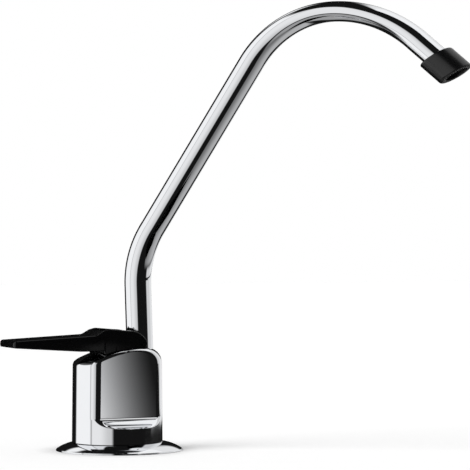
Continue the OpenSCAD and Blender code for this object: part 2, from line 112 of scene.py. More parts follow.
def amount(name, description, value):
    """A plain number that the user can change."""
    return FloatProperty(name=name, description=description, default=value, min=0.0, precision=4)


def limits(name, description, degrees):
    """Two limits in degrees that the user can change."""
    return FloatVectorProperty(name=name, description=description, default=degrees, size=2)


def colour(name, description, value):
    """A colour that the user can change."""
    return FloatVectorProperty(
        name=name, description=description, default=value, size=3, subtype="COLOR", min=0.0, max=1.0
    )


class TapBodySizes(bpy.types.PropertyGroup):
    """Sizes of the cast body and of the base plate under it"""

    foot_d: length("Foot diameter", "Diameter of the body at its foot", span("body")[0])
    top_d: length("Top diameter", "Diameter of the body where its top edge starts to round", 35.2 * MM)
    foot_z: length("Foot height", "Height of the body's foot above the deck", low("body")[2])
    top_z: length("Top height", "Height of the body's flat top above the deck", high("body")[2])
    edge_r: length("Top edge", "Radius of the rounded top edge", 6 * MM)
    crown_r: length("Crown radius", "Radius of the crown's dome", 60 * MM)
    crown_x: length("Crown middle", "Distance from the valve's axis back to the dome's middle", 12 * MM)
    crown_z: length("Crown height", "Height of the crown's dome over its middle", 42.4 * MM)
    across_flats: length("Across panels", "Distance across the two side panels", 23.4 * MM)
    panel_z: length("Panel foot", "Height at which the side panels start", 13.4 * MM)
    cove_w: length("Cove depth", "Depth of the cove under each panel", 6.6 * MM)
    cove_h: length("Cove height", "Height of the cove under each panel", 3.8 * MM)
    front_round: length("Front edge", "Radius of the panels' upright edges at the front", 1.5 * MM)
    back_round: length("Back edge", "Radius of the panels' other edges with the round body", 1.0 * MM)
    ledge_round: length("Cove edge", "Radius of the cove's lower edge", 0.7 * MM)
    crown_round: length("Crown edge", "Radius of the edge between a panel and the dome", 1.0 * MM)
    pocket_w: length("Pocket width", "Width of the lever's pocket", 19.4 * MM)
    pocket_r: length("Pocket radius", "Radius of the lever's pocket about the pivot bar", 10.44 * MM)
    pocket_front: length("Pocket front", "Reach of the pocket in front of the valve's axis", 4.76 * MM)
    ledge_front: length("Ledge front", "Reach of the rocking ledge in front of the valve's axis", 8.8 * MM)
    ledge_z: length("Ledge height", "Height of the rocking ledge", 37.3 * MM)
    stem_hole_d: length("Stem hole", "Diameter of the hole above the stem's guide", 5.6 * MM)
    port_d: length("Port", "Diameter of the water port between the two chambers", 3.6 * MM)
    tube_room: length("Tube room", "Radial room around the spout tube", 0.3 * MM)
    tube_gap: length("Tube gap", "Height of the spout tube's foot above its socket's step", 1.1 * MM)
    play: length("Play", "Radial play of the pieces in the body's bores", 0.05 * MM)
    plate_flat_d: length("Plate flat", "Diameter of the base plate's flat top", 32 * MM)
    plate_rim: length("Plate rim", "Height of the base plate's rim", 0.5 * MM)
    plate_t: length("Plate thickness", "Thickness of the base plate's sheet", 1 * MM)
    plate_hole_d: length("Plate hole", "Diameter of the hole in the base plate", 13.4 * MM)


class TapLeverSizes(bpy.types.PropertyGroup):
    """Sizes of the moulded lever, with distances forward of the valve's axis"""

    reach: length("Reach", "Reach of the lever's tip from the valve's axis", -low("lever")[0])
    width: length("Width", "Width of the lever", span("lever")[1])
    tip_t: length("Tip thickness", "Thickness of the lever's tip", 2.7 * MM)
    tip_z: length("Tip height", "Height of the top of the lever's tip", 44 * MM)
    tip_corner: length("Tip corners", "Radius of the corners at the tip", 1.2 * MM)
    blade_z: length("Blade height", "Height of the blade's top where the hump starts", 45.7 * MM)
    blade_low: length("Blade foot", "Height of the blade's underside at its root", 39.5 * MM)
    blade_root: length("Blade root", "Distance forward to the blade's root", 18.5 * MM)
    hump_z: length("Hump height", "Height of the hump", high("lever")[2])
    hump_front: length("Hump front", "Distance forward to the foot of the hump", 11.9 * MM)
    hump_back: length("Hump top", "Distance forward to the top of the hump", 6.3 * MM)
    arch_r: length("Arch radius", "Radius of the arms' arched backs", 8 * MM)
    arch_x: length("Arch middle", "Distance back to the middle of the arch", 1.6 * MM)
    arch_z: length("Arch height", "Height of the middle of the arch", 39.4 * MM)
    arch_turn: angle("Arch turn", "Angle that the arch turns through", 67)
    hub_z: length("Hub foot", "Height of the hub's underside", 38 * MM)
    hub_front: length("Hub front", "Distance forward to the front of the hub", 8.8 * MM)
    arm_front: length("Arm front", "Distance forward to the front of the arms' lower ends", 3.3 * MM)
    heel_z: length("Heel height", "Height of the corner of the heel", 42.6 * MM)
    heel_x: length("Heel", "Distance from the valve's axis back to the heel", high("lever")[0])
    arm_t: length("Arm thickness", "Thickness of each arm beside the spout", 3.2 * MM)
    arm_z: length("Arm foot", "Height of the lower ends of the arms", low("lever")[2])
    slot_front: length("Slot front", "Reach of the slot between the arms", 5.25 * MM)
    rib_r: length("Rib radius", "Radius of the rocking rib", 1.2 * MM)
    bar_d: length("Bar hole", "Diameter of the pivot bar's hole", 2.6 * MM)
    edge: length("Edge", "Radius of the lever's long edges", 0.5 * MM)


class TapSpoutSizes(bpy.types.PropertyGroup):
    """Sizes of the bent spout tube and of its cap"""

    tube_d: length("Tube diameter", "Diameter of the spout tube", 10.6 * MM)
    tube_wall: length("Tube wall", "Wall thickness of the spout tube", 0.9 * MM)
    turn: angle("Turn", "Angle that the spout is swivelled to", -45.5)
    lean: angle("Lean", "Backward lean of the tube's upright", 2)
    lean_z: length("Lean start", "Height at which the tube starts to lean", high("body")[2] + 1 * MM)
    upright_z: length("Upright", "Height at which the lower bend starts", 64.9 * MM)
    lower_r: length("Lower bend radius", "Centre line radius of the lower bend", 38.7 * MM)
    lower_bend: angle("Lower bend", "Angle of the lower bend", 35.2)
    slope: length("Slope", "Length of the straight slope", 77.4 * MM)
    rise_r: length("Rising bend radius", "Centre line radius of the upper bend's rising half", 40.9 * MM)
    fall_r: length("Falling bend radius", "Centre line radius of the upper bend's falling half", 50.7 * MM)
    fall: angle("Fall", "Angle of the spout's end below the horizontal", 40.6)
    end: length("End", "Length of the straight end", 16.6 * MM)
    flatness: amount("Flatness", "Share of the tube's thickness that is left where it runs level", 0.735)
    cap_d: length("Cap diameter", "Diameter of the outlet cap", 13 * MM)
    cap_grip: length("Cap grip", "Length of tube inside the outlet cap", 7 * MM)
    cap_lip: length("Cap lip", "Length of the outlet cap beyond the tube", 3.8 * MM)
    cap_slant: angle("Cap slant", "Slant of the outlet cap's two ends", 19)
    cap_edge: length("Cap edge", "Radius of the outlet cap's edges", 0.7 * MM)
    mouth_d: length("Mouth", "Diameter of the outlet's mouth", 8.6 * MM)


class TapClampSizes(bpy.types.PropertyGroup):
    """Sizes of the shank, the deck clamp and the valve's spring"""

    pitch: length("Pitch", "Pitch of the shank's thread", 1.06 * MM)
    depth: length("Thread depth", "Depth of the shank's thread", 0.5 * MM)
    plain: length("Plain length", "Length of plain shank below the deck", 10 * MM)
    engage_z: length("Shank top", "Height of the shank's shoulder", 9.9 * MM)
    bevel: length("Bevel", "Width of the shank's bevelled ends", 0.8 * MM)
    water_d: length("Water way", "Diameter of the water way through the shank", 4.6 * MM)
    seat_w: length("Seat width", "Width of the seat's lip", 0.9 * MM)
    inlet_d: length("Inlet", "Diameter of the inlet socket", 6.6 * MM)
    inlet_depth: length("Inlet depth", "Depth of the inlet socket", 14 * MM)
    nut_floor: length("Nut floor", "Thickness of the inlet nut's floor", 2 * MM)
    washer_gap: length("Washer play", "Radial play of the washers on the shank", 0.25 * MM)
    nut_gap: length("Nut play", "Radial play of the nuts on the shank", 0.05 * MM)
    lock_teeth: IntProperty(name="Teeth", description="Number of teeth on the lock washer", default=12)
    notch_d: length("Notch", "Diameter of the notches between the lock washer's teeth", 1.6 * MM)
    wire_d: length("Wire", "Diameter of the valve spring's wire", 0.6 * MM)
    coils: IntProperty(name="Coils", description="Number of coils of the valve spring", default=4)


class TapColours(bpy.types.PropertyGroup):
    """Colours of the tap's finishes"""

    chrome: colour("Chrome", "Chrome plate on the body, the base plate and the spout", (0.86, 0.87, 0.89))
    plastic: colour("Black plastic", "Plastic of the lever and the deck washer", (0.0016, 0.0016, 0.0018))
    rubber: colour("Black rubber", "Rubber of the cap and the seals", (0.003, 0.003, 0.0033))
    brass: colour("Brass", "Turned brass of the shank, the nuts and the valve", (0.78, 0.58, 0.28))
    steel: colour("Spring steel", "Steel of the pivot bar, spring and lock washer", (0.62, 0.62, 0.63))
    nylon: colour("White plastic", "Natural plastic of the stem's guide", (0.83, 0.81, 0.76))


class TapStudio(bpy.types.PropertyGroup):
    """Camera, floor and light of the studio"""

    azimuth: angle("Azimuth", "Direction that the camera looks in, from +Y", -23.5)
    distance: length("Distance", "Distance of the camera from the valve's axis", 945 * MM)
    aside: length("Aside", "Distance of the camera to the right of the valve's axis", 46.5 * MM)
    height: length("Height", "Height of the camera above the deck", 84.9 * MM)
    lens: FloatProperty(
        name="Lens", description="Focal length of the camera", default=183.25, unit="CAMERA"
    )
    sensor: FloatProperty(
        name="Sensor", description="Width of the camera's sensor", default=36.0, unit="CAMERA"
    )
    floor_size: length("Floor", "Width of the floor", 6.0)
    floor_glow: amount("Floor glow", "Brightness that the floor keeps in shadow", 0.35)
    # These two settings shape the painted contact shadow: ambient occlusion darkens the floor's glow next to the
    # tap
    contact: length("Contact", "Distance over which the floor's glow fades next to the tap", 16 * MM)
    contact_fade: amount("Contact fade", "Power that deepens the fade next to the tap", 4.0)
    floor_white: amount("Floor white", "Share of light that the matt floor throws back", 0.85)
    fill: amount("Fill", "Brightness of the room on matt surfaces", 0.4)
    key_power: amount("Key", "Strength of the key light", 1.56)
    key_size: angle("Key size", "Width of the key light as seen from the tap", 35)
    key_near: amount("Key near", "Distance of the key light toward the camera for each metre up", 0.45)
    key_left: amount("Key left", "Distance of the key light to the left for each metre up", 0.75)
    card_y: length("Card distance", "Distance of the panel's card in front of the valve's axis", 90 * MM)
    card_corner: amount("Card corner", "Brightness shown in the card's lower left corner", 0.89)
    card_aside: amount("Card aside", "Fall of the brightness shown from the card's left to its right", 0.75)
    card_up: amount("Card up", "Fall of the brightness shown from the card's foot to its top", 0.16)
    card_least: amount("Card least", "Least brightness shown on the card", 0.12)
    card_light: amount("Card light", "Light of the card where the brightness shown is 1", 1.1)
    hood_gap: length("Hood gap", "Distance of the hood above the panel's card", 4 * MM)
    hood_depth: length("Hood depth", "Depth of the hood that hides the panel's card from the spout", 42 * MM)
    hood_side: length("Hood side", "Reach of the hood beyond each side of the panel's card", 10 * MM)


class TapRoom(bpy.types.PropertyGroup):
    """Lights that the chrome mirrors, in degrees to the right of the camera and above the level"""

    left_ends: limits("Left box", "Bearings of the left box's two ends", (-126, -9))
    left_lifts: limits("Left box lifts", "Lifts of the left box's foot and roof", (-36, 50))
    left_light: amount("Left light", "Brightness of the left box", 1.02)
    seam_ends: limits("Seam", "Bearings of the sides of the dark seam in the left box", (-69.5, -65.5))
    right_ends: limits("Right box", "Bearings of the right box's two ends", (80, 163))
    right_light: amount("Right light", "Brightness of the right box", 0.7)
    line_lifts: limits("Line", "Lifts of the sides of the dark line in the right box", (-4.9, -3.82))
    top_ends: limits("Top box", "Bearings of the top box's two ends", (46, 168))
    top_lifts: limits("Top box lifts", "Lifts of the top box's foot and roof", (42, 57))
    back_ends: limits("Back box", "Bearings of the back box's two ends", (-166, -146))
    back_lifts: limits("Back box lifts", "Lifts of the back box's foot and roof", (31, 45))
    table_ends: limits("Table", "Bearings of the table's two ends", (-174, 168))
    table_light: amount("Table light", "Brightness of the table", 0.36)
    dark: amount("Dark room", "Brightness of the room between its lights", 0.008)


def rounded(corners, radii, steps=6):
    """Closed outline with an arc at each corner.

    An arc of radius r touches both sides at r / tan(half the corner's angle) from the corner.
    """
    corners = np.asarray(corners, float)
    radii = np.broadcast_to(np.asarray(radii, float), len(corners))
    back = np.roll(corners, 1, axis=0) - corners
    ahead = np.roll(corners, -1, axis=0) - corners
    back /= np.linalg.norm(back, axis=1, keepdims=True)
    ahead /= np.linalg.norm(ahead, axis=1, keepdims=True)
    half = np.arccos(np.clip(np.sum(back * ahead, axis=1), -1, 1)) / 2
    middle = back + ahead
    middle /= np.linalg.norm(middle, axis=1, keepdims=True)
    centre = corners + middle * (radii / np.sin(half))[:, None]
    start = corners + back * (radii / np.tan(half))[:, None] - centre
    end = corners + ahead * (radii / np.tan(half))[:, None] - centre
    turn = (np.pi - 2 * half)[:, None, None]
    t = np.linspace(0, 1, steps + 1)[None, :, None]
    bend = (np.sin((1 - t) * turn) * start[:, None] + np.sin(t * turn) * end[:, None]) / np.sin(turn)
    return (bend + centre[:, None]).reshape(-1, 2)


def points_at(*parts):
    """Points from their coordinates, each a number or an array that is spread over the others."""
    return np.stack(np.broadcast_arrays(*parts), axis=-1)


def grid_faces(rows, columns, closed_rows=False):
    """Quads between neighbours of a grid whose columns run round and whose rows may."""
    row, column = np.meshgrid(np.arange(rows - (not closed_rows)), np.arange(columns), indexing="ij")
    start, next_start = row * columns, (row + 1) % rows * columns
    beside = (column + 1) % columns
    quads = points_at(start + column, start + beside, next_start + beside, next_start + column)
    return quads.reshape(-1, 4).tolist()


def capped_faces(rows, columns):
    """Quads of a grid whose columns run round, with a flat face over its first and its last row."""
    first = np.arange(columns)
    return grid_faces(rows, columns) + [first.tolist(), (first + (rows - 1) * columns).tolist()]


def link(name, data):
    """A new object in the scene."""
    new = bpy.data.objects.new(name, data)
    bpy.context.scene.collection.objects.link(new)
    return new


def add_mesh(name, points, faces, sharp=None):
    """A closed mesh with its faces outwards, smooth but for edges sharper than the angle in degrees."""
    mesh = bpy.data.meshes.new(name)
    mesh.from_pydata(np.asarray(points).reshape(-1, 3), [], faces)
    tidy = bmesh.new()
    tidy.from_mesh(mesh)
    bmesh.ops.recalc_face_normals(tidy, faces=tidy.faces)
    tidy.to_mesh(mesh)
    tidy.free()
    smooth(mesh, sharp)
    return link(name, mesh)


def smooth(mesh, sharp):
    """Smooth shading, with edges sharper than the angle in degrees left sharp."""
    mesh.shade_smooth()
    if sharp:
        mesh.set_sharp_from_angle(angle=math.radians(sharp))


def around(columns):
    """Angles of a full turn."""
    return np.linspace(0, 2 * np.pi, columns, endpoint=False)


def lathe(name, profile, columns=128, centre=(0, 0), radius=None, sharp=30):
    """Turns a closed [radius, height] outline about an upright axis.

    The radius may be changed by a function of the radii, the heights and the angles.
    """
    profile = np.asarray(profile, float)
    turn = around(columns)[None, :]
    r, z = profile[:, :1], profile[:, 1:]
    if radius:
        r = radius(r, z, turn)
    points = points_at(centre[0] + r * np.cos(turn), centre[1] + r * np.sin(turn), z)
    return add_mesh(name, points, grid_faces(len(profile), columns, closed_rows=True), sharp)


def across(name, outline, width):
    """A closed [x, z] outline carried across the tap, from y = -width / 2 to width / 2."""
    outline = np.asarray(outline, float)
    side = np.array([-width / 2, width / 2])
    points = points_at(outline[None, :, 0], side[:, None], outline[None, :, 1])
    return add_mesh(name, points, capped_faces(2, len(outline)))


def arc(x, z, r, turn):
    """Points of an arc round [x, z], at these angles."""
    return points_at(x + r * np.cos(turn), z + r * np.sin(turn))


def circle(x, z, r, columns=48):
    """A closed [x, z] circle."""
    return arc(x, z, r, around(columns))


def shape_with(piece, tools, sharp=30):
    """Cuts tools out of a piece, or joins them to it, and deletes them."""
    for operation, tool in tools:
        change = piece.modifiers.new("Shape", "BOOLEAN")
        change.operation = operation
        change.solver = "EXACT"
        change.object = tool
    graph = bpy.context.evaluated_depsgraph_get()
    mesh = bpy.data.meshes.new_from_object(piece.evaluated_get(graph))
    if not mesh.polygons:
        raise RuntimeError(f"{piece.name} was cut away")
    piece.modifiers.clear()
    old = piece.data
    piece.data = mesh
    mesh.name = piece.name
    bpy.data.meshes.remove(old)
    for _, tool in tools:
        bpy.data.meshes.remove(tool.data)
    smooth(mesh, sharp)
    return piece


def dress(piece, node):
    """Gives a piece the finish of a frame node."""
    piece.data.materials.clear()
    piece.data.materials.append(finish_of(node))


def fit(piece, node):
    """Puts a piece in the place of a frame node, with the node's finish."""
    dress(piece, node)
    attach(piece, NODE_BODY[node])
    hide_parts(node)
    return piece


class Value:
    """A socket of a shader tree that can stand in an expression."""

    def __init__(self, tree, socket):
        self.tree = tree
        self.socket = socket

    def math(self, operation, *values):
        """A Math node on these values."""
        return self.tree.node("ShaderNodeMath", {"operation": operation}, values)

    def __add__(self, other):
        return self.math("ADD", self, other)

    def __sub__(self, other):
        return self.math("SUBTRACT", self, other)

    def __rsub__(self, other):
        return self.math("SUBTRACT", other, self)

    def __mul__(self, other):
        return self.math("MULTIPLY", self, other)

    __radd__ = __add__
    __rmul__ = __mul__


class ShaderTree:
    """The node tree of a material or a world."""

    def __init__(self, owner):
        owner.use_nodes = True
        self.owner = owner
        self.tree = owner.node_tree
        self.tree.nodes.clear()

    def node(self, kind, settings=None, sockets=(), output=0):
        """Adds a node, sets it, then gives its sockets values or links by place or by name."""
        node = self.tree.nodes.new(kind)
        for name, value in (settings or {}).items():
            setattr(node, name, value)
        named = sockets.items() if isinstance(sockets, dict) else enumerate(sockets)
        for name, value in named:
            if isinstance(value, Value):
                self.tree.links.new(value.socket, node.inputs[name])
            else:
                node.inputs[name].default_value = value
        return Value(self, node.outputs[output]) if node.outputs else node

    def place(self, stretch=(1, 1, 1)):
        """Object coordinates, stretched along each axis."""
        here = self.node("ShaderNodeTexCoord", output="Object")
        return self.node("ShaderNodeMapping", sockets={"Vector": here, "Scale": stretch})

    def noise(self, scale, detail=3.0, stretch=(1, 1, 1)):
        """Noise from 0 to 1 with its scale in cells per metre."""
        sockets = {"Vector": self.place(stretch), "Scale": scale, "Detail": detail}
        return self.node("ShaderNodeTexNoise", sockets=sockets)

    def bump(self, heights, depth):
        """A surface normal from heights of 0 to 1, with their depth in metres."""
        return self.node("ShaderNodeBump", sockets={"Height": heights, "Distance": depth})

    def mix(self, share, first, second):
        """A colour between two colours."""
        sockets = {0: share, 6: (*first, 1.0), 7: (*second, 1.0)}
        return self.node("ShaderNodeMix", {"data_type": "RGBA"}, sockets, output=2)

    def step(self, value, start, end):
        """A soft step from 0 at start to 1 at end."""
        sockets = {"Value": value, "From Min": start, "From Max": end}
        return self.node("ShaderNodeMapRange", {"interpolation_type": "SMOOTHSTEP"}, sockets)

    def end(self, shader):
        """Ends the tree in a shader, and returns its material."""
        self.node("ShaderNodeOutputMaterial", sockets={"Surface": shader})
        return self.owner

    def surface(self, **sockets):
        """Ends the tree in a finish, with its sockets named by words joined with _."""
        named = {name.replace("_", " "): value for name, value in sockets.items()}
        return self.end(self.node("ShaderNodeBsdfPrincipled", sockets=named))


def shade(base, share):
    """A colour made darker or lighter by a share."""
    return tuple(min(1.0, part * share) for part in base)


def new_finish(name):
    """The empty shader tree of a new material."""
    return ShaderTree(bpy.data.materials.new(name))


def mirror_chrome(colours):
    """Mirror chrome with the faint haze and ripple of a polished casting."""
    tree = new_finish("mirror_chrome")
    haze = tree.noise(220.0)
    return tree.surface(
        Base_Color=tree.mix(haze, shade(colours.chrome, 0.97), colours.chrome),
        Metallic=1.0,
        Roughness=0.025 + haze * 0.03,
        Normal=tree.bump(tree.noise(90.0, detail=1.0), 0.004 * MM),
    )


def satin_plastic(colours):
    """Moulded black plastic with a fine grain and a satin gloss."""
    tree = new_finish("satin_plastic")
    grain = tree.noise(5200.0)
    patch = tree.noise(160.0)
    return tree.surface(
        Base_Color=tree.mix(patch, colours.plastic, shade(colours.plastic, 1.35)),
        Roughness=0.13 + patch * 0.08,
        Specular_IOR_Level=0.35,
        Normal=tree.bump(grain, 0.004 * MM),
    )


def soft_rubber(colours):
    """Soft black rubber, duller than the plastic."""
    tree = new_finish("soft_rubber")
    grain = tree.noise(3800.0)
    bloom = tree.noise(240.0)
    return tree.surface(
        Base_Color=tree.mix(bloom, colours.rubber, shade(colours.rubber, 1.5)),
        Roughness=0.25 + bloom * 0.06,
        Normal=tree.bump(grain, 0.004 * MM),
    )


def turned_brass(colours):
    """Brass with the fine level rings that a lathe leaves."""
    tree = new_finish("turned_brass")
    rings = tree.noise(900.0, detail=2.0, stretch=(0.02, 0.02, 6.0))
    tarnish = tree.noise(130.0)
    return tree.surface(
        Base_Color=tree.mix(tarnish, colours.brass, shade(colours.brass, 0.82)),
        Metallic=1.0,
        Roughness=0.2 + rings * 0.16,
        Normal=tree.bump(rings, 0.01 * MM),
    )


def drawn_steel(colours):
    """Drawn steel wire and sheet with a dull shine."""
    tree = new_finish("drawn_steel")
    drawn = tree.noise(1500.0, stretch=(1.0, 0.1, 1.0))
    return tree.surface(
        Base_Color=tree.mix(drawn, colours.steel, shade(colours.steel, 0.8)),
        Metallic=1.0,
        Roughness=0.26 + drawn * 0.14,
        Normal=tree.bump(drawn, 0.004 * MM),
    )


def natural_plastic(colours):
    """Natural moulded plastic."""
    tree = new_finish("natural_plastic")
    cloud = tree.noise(300.0)
    return tree.surface(
        Base_Color=tree.mix(cloud, colours.nylon, shade(colours.nylon, 0.93)),
        Roughness=0.42 + cloud * 0.1,
        Normal=tree.bump(tree.noise(4200.0), 0.006 * MM),
    )


MAKERS = {
    "chrome_plate": mirror_chrome,
    "black_plastic": satin_plastic,
    "black_rubber": soft_rubber,
    "brass": turned_brass,
    "spring_steel": drawn_steel,
    "white_plastic": natural_plastic,
}


def finish_of(node):
    """The finish of a frame node's material slot, made when it is first asked for."""
    maker = MAKERS[NODE_SLOT[node]]
    return bpy.data.materials.get(maker.__name__) or maker(bpy.context.scene.tap_colours)


def round_meet(first, second, radius):
    """Depth inside two shapes at once, with the edge where they meet rounded to a radius.

    max(r, smaller depth) - length of (r - each depth, where above 0).
    """
    corner = np.hypot(np.maximum(radius - first, 0), np.maximum(radius - second, 0))
    return np.maximum(radius, np.minimum(first, second)) - corner


def cove_radius(size):
    """Radius of the cove's arc, which is level at the ledge.

    It is (width squared + height squared) / twice the height.
    """
    return (size.cove_w ** 2 + size.cove_h ** 2) / (2 * size.cove_h)


def body_depth(size, point):
    """Depth of points inside the body: a round blank, cut by the panels, their coves and the crown's dome."""
    x, y, z = np.moveaxis(point, -1, 0)
    out = np.hypot(x, y)
    side = np.abs(y)
    edge_z = size.top_z - size.edge_r
    rise = np.clip((z - size.foot_z) / (edge_z - size.foot_z), 0, 1)
    wall = size.foot_d / 2 + (size.top_d - size.foot_d) / 2 * rise
    rim = np.hypot(np.maximum(out - size.top_d / 2 + size.edge_r, 0), np.maximum(z - edge_z, 0))
    blank = np.where(z < edge_z, wall - out, size.edge_r - rim)
    flat = size.across_flats / 2
    cove_r = cove_radius(size)
    ledge_z = size.panel_z - size.cove_h
    climb = np.clip(z - ledge_z, 0, size.cove_h)
    cove = size.cove_w - np.sqrt(cove_r ** 2 - (cove_r - climb) ** 2)
    panel = np.where(z < ledge_z, size.foot_d, flat + cove - side)
    middle = np.array([size.crown_x, 0, size.crown_z - size.crown_r])
    crown = size.crown_r - np.linalg.norm(point - middle, axis=-1)
    upright = np.where(x < 0, size.front_round, size.back_round)
    radius = size.ledge_round + (upright - size.ledge_round) * climb / size.cove_h
    return round_meet(round_meet(blank, panel, radius), crown, size.crown_round)


def reach_of(depth, start, heading, far, rounds=40):
    """Distance along each ray at which the depth falls to 0, found by halving."""
    near = np.zeros(start.shape[:-1])
    far = np.full(start.shape[:-1], far)
    for _ in range(rounds):
        middle = (near + far) / 2
        inside = depth(start + heading * middle[..., None]) > 0
        near = np.where(inside, middle, near)
        far = np.where(inside, far, middle)
    return (near + far) / 2


def stretches(*parts):
    """Even steps along each stretch, given as its start, its end and its number of steps."""
    return np.concatenate([np.linspace(*part, endpoint=False) for part in parts])


def body_skin(size):
    """Grid of the body's outside: level rays from the valve's axis, then a fan of rays over the crown.

    The rays lie closest together where the panels' edges, the cove and the crown's edge are round.
    """
    edge_start, edge_end = 36, 76
    quarter = np.radians(stretches((0, edge_start, 12), (edge_start, edge_end, 76), (edge_end, 90, 7)))
    half = np.concatenate([quarter, [np.pi / 2], np.pi - quarter[:0:-1]])
    turn = np.concatenate([half, half + np.pi])
    fan_z = 0.75 * size.top_z
    ledge_z = size.panel_z - size.cove_h
    roll_z = ledge_z - 2 * size.ledge_round
    cove_r = cove_radius(size)
    cove = ledge_z + cove_r * (1 - np.cos(np.linspace(0, math.acos(1 - size.cove_h / cove_r), 36)))
    crease = 0.2 * MM
    height = np.concatenate([
        stretches((size.foot_z, roll_z, 6), (roll_z, ledge_z, 16)),
        cove[:-1],
        [size.panel_z],
        np.linspace(size.panel_z + crease, fan_z, 12),
    ])
    crown_start, crown_end, crown_top = 12, 52, 89
    climb = np.radians(np.concatenate([
        stretches((0, crown_start, 6), (crown_start, crown_end, 78))[1:],
        np.linspace(crown_end, crown_top, 16),
    ]))
    start_z = np.concatenate([height, np.full(len(climb), fan_z)])
    lift = np.concatenate([np.zeros(len(height)), climb])
    lift, turn = np.meshgrid(lift, turn, indexing="ij")
    heading = points_at(np.cos(lift) * np.cos(turn), np.cos(lift) * np.sin(turn), np.sin(lift))
    start = np.zeros_like(heading)
    start[..., 2] = start_z[:, None]
    reach = reach_of(lambda point: body_depth(size, point), start, heading, size.foot_d)
    return start + heading * reach[..., None]


def make_body(size):
    """The cast body: its skin, less the lever's pocket, the valve's bore, the spout's socket and the port."""
    skin = body_skin(size)
    piece = add_mesh("body_casting", skin, capped_faces(*skin.shape[:2]))
    pivot_z = JOINTS["lever_flip"]["pos_m"][2]
    spout_x = JOINTS["spout_swivel"]["pos_m"][0]
    top = 2 * size.top_z
    sweep = np.linspace(-math.acos(-size.pocket_front / size.pocket_r), 0, 40)
    bowl = arc(0, pivot_z, size.pocket_r, sweep)
    pocket = np.concatenate([
        [[-size.ledge_front, top], [-size.ledge_front, size.ledge_z], [-size.pocket_front, size.ledge_z]],
        bowl,
        [[size.pocket_r, top]],
    ])
    core = 0.01 * MM
    bore_r = radius_of("shank") + size.play
    chamber_r = radius_of("stem_guide") + size.play
    stem_r, port_r = size.stem_hole_d / 2, size.port_d / 2
    tube_r = radius_of("spout_spigot") + size.tube_room
    seal_z, guide_z, port_z = high("shank_seal")[2], high("stem_guide")[2], low("valve_spring")[2]
    socket_z = low("spout_tube")[2] - size.tube_gap
    valve = [
        [core, 0], [bore_r, 0], [bore_r, seal_z], [chamber_r, seal_z],
        [chamber_r, guide_z], [stem_r, guide_z], [stem_r, top], [core, top],
    ]
    socket = [
        [core, port_z], [chamber_r, port_z], [chamber_r, socket_z],
        [tube_r, socket_z], [tube_r, top], [core, top],
    ]
    ring = circle(0, port_z + port_r, port_r)
    port = points_at(np.array([[0], [spout_x]]), ring[:, 0], ring[:, 1])
    tools = [
        across("pocket_tool", pocket, size.pocket_w),
        lathe("valve_tool", valve, 96),
        lathe("socket_tool", socket, 96, centre=(spout_x, 0)),
        add_mesh("port_tool", port, capped_faces(2, len(ring))),
    ]
    return shape_with(piece, [("DIFFERENCE", tool) for tool in tools], sharp=36)


def make_base_plate(size):
    """Domed plate of sheet metal: an arc from the flat top down to the rim, and the same arc inside it."""
    out, plate_z = radius_of("base_plate"), high("base_plate")[2]
    centre = (low("base_plate") + high("base_plate")) / 2
    flat, hole = size.plate_flat_d / 2, size.plate_hole_d / 2
    run, drop = out - flat, plate_z - size.plate_rim
    dome_r = (run ** 2 + drop ** 2) / (2 * drop)
    dome_z = plate_z - dome_r
    outside = np.linspace(np.pi / 2, math.asin((size.plate_rim - dome_z) / dome_r), 40)
    inner_r = dome_r - size.plate_t
    inside = np.linspace(math.asin(-dome_z / inner_r), np.pi / 2, 24)
    lip, lip_steps = 0.12 * MM, 4
    rim = rounded([[out, size.plate_rim], [out, 0], [out - size.plate_t, 0]], lip, lip_steps)
    profile = np.concatenate([
        [[hole, plate_z - size.plate_t], [hole, plate_z - lip], [hole + lip, plate_z]],
        arc(flat, dome_z, dome_r, outside)[:-1],
        rim[:2 * (lip_steps + 1)],
        arc(flat, dome_z, inner_r, inside)[1:],
    ])
    return lathe("base_plate_dome", profile, 256, centre=centre[:2])


def lever_sides(size):
    """Stations along the lever, with the heights of its top and its underside there.

    The outline's corners are given as distance forward, height and radius.
    """
    arch_top = size.arch_z + size.arch_r
    arch_run = size.arch_r * math.tan(size.arch_turn / 2)
    arch_round = size.arch_r - 0.2 * MM
    shoulder_run, shoulder_drop = 2.4 * MM, 0.6 * MM
    heel_run, heel_rise = 2 * MM, 2.4 * MM
    arm_slant, hub_slant = 1 * MM, 0.5 * MM
    corners = np.array([
        [size.reach, size.tip_z - size.tip_t, 0.9 * MM],
        [size.reach, size.tip_z, 1.4 * MM],
        [size.hump_front, size.blade_z, 3 * MM],
        [size.hump_back + shoulder_run, size.hump_z - shoulder_drop, 1.5 * MM],
        [size.hump_back, size.hump_z, 2 * MM],
        [-size.arch_x, arch_top, 1 * MM],
        [-size.arch_x - arch_run, arch_top, arch_round],
        [-size.heel_x, size.heel_z, 0.3 * MM],
        [heel_run - size.heel_x, size.arm_z + heel_rise, 1.5 * MM],
        [2 * heel_run - size.heel_x, size.arm_z, 1.5 * MM],
        [size.arm_front, size.arm_z, 0.8 * MM],
        [size.arm_front + arm_slant, size.hub_z, 0.6 * MM],
        [size.hub_front - hub_slant, size.hub_z, 0.8 * MM],
        [size.hub_front, size.blade_low, 0.6 * MM],
        [size.blade_root, size.blade_low, 20 * MM],
    ])
    outline = rounded(corners[:, :2], corners[:, 2], 8)
    tip, heel = np.argmax(outline[:, 0]), np.argmin(outline[:, 0])
    upper = np.roll(outline, -tip, axis=0)[: (heel - tip) % len(outline) + 1][::-1]
    lower = np.roll(outline, -heel, axis=0)[: (tip - heel) % len(outline) + 1]
    corner = size.reach - size.tip_corner * (1 - np.sin(np.linspace(0, np.pi / 2, 12)))
    u = np.unique(np.concatenate([upper[:, 0], lower[:, 0], corner, np.linspace(0, size.reach, 60)]))
    least_step = 0.02 * MM
    u = u[np.append(True, np.diff(u) > least_step)]
    return u, np.interp(u, upper[:, 0], upper[:, 1]), np.interp(u, lower[:, 0], lower[:, 1])


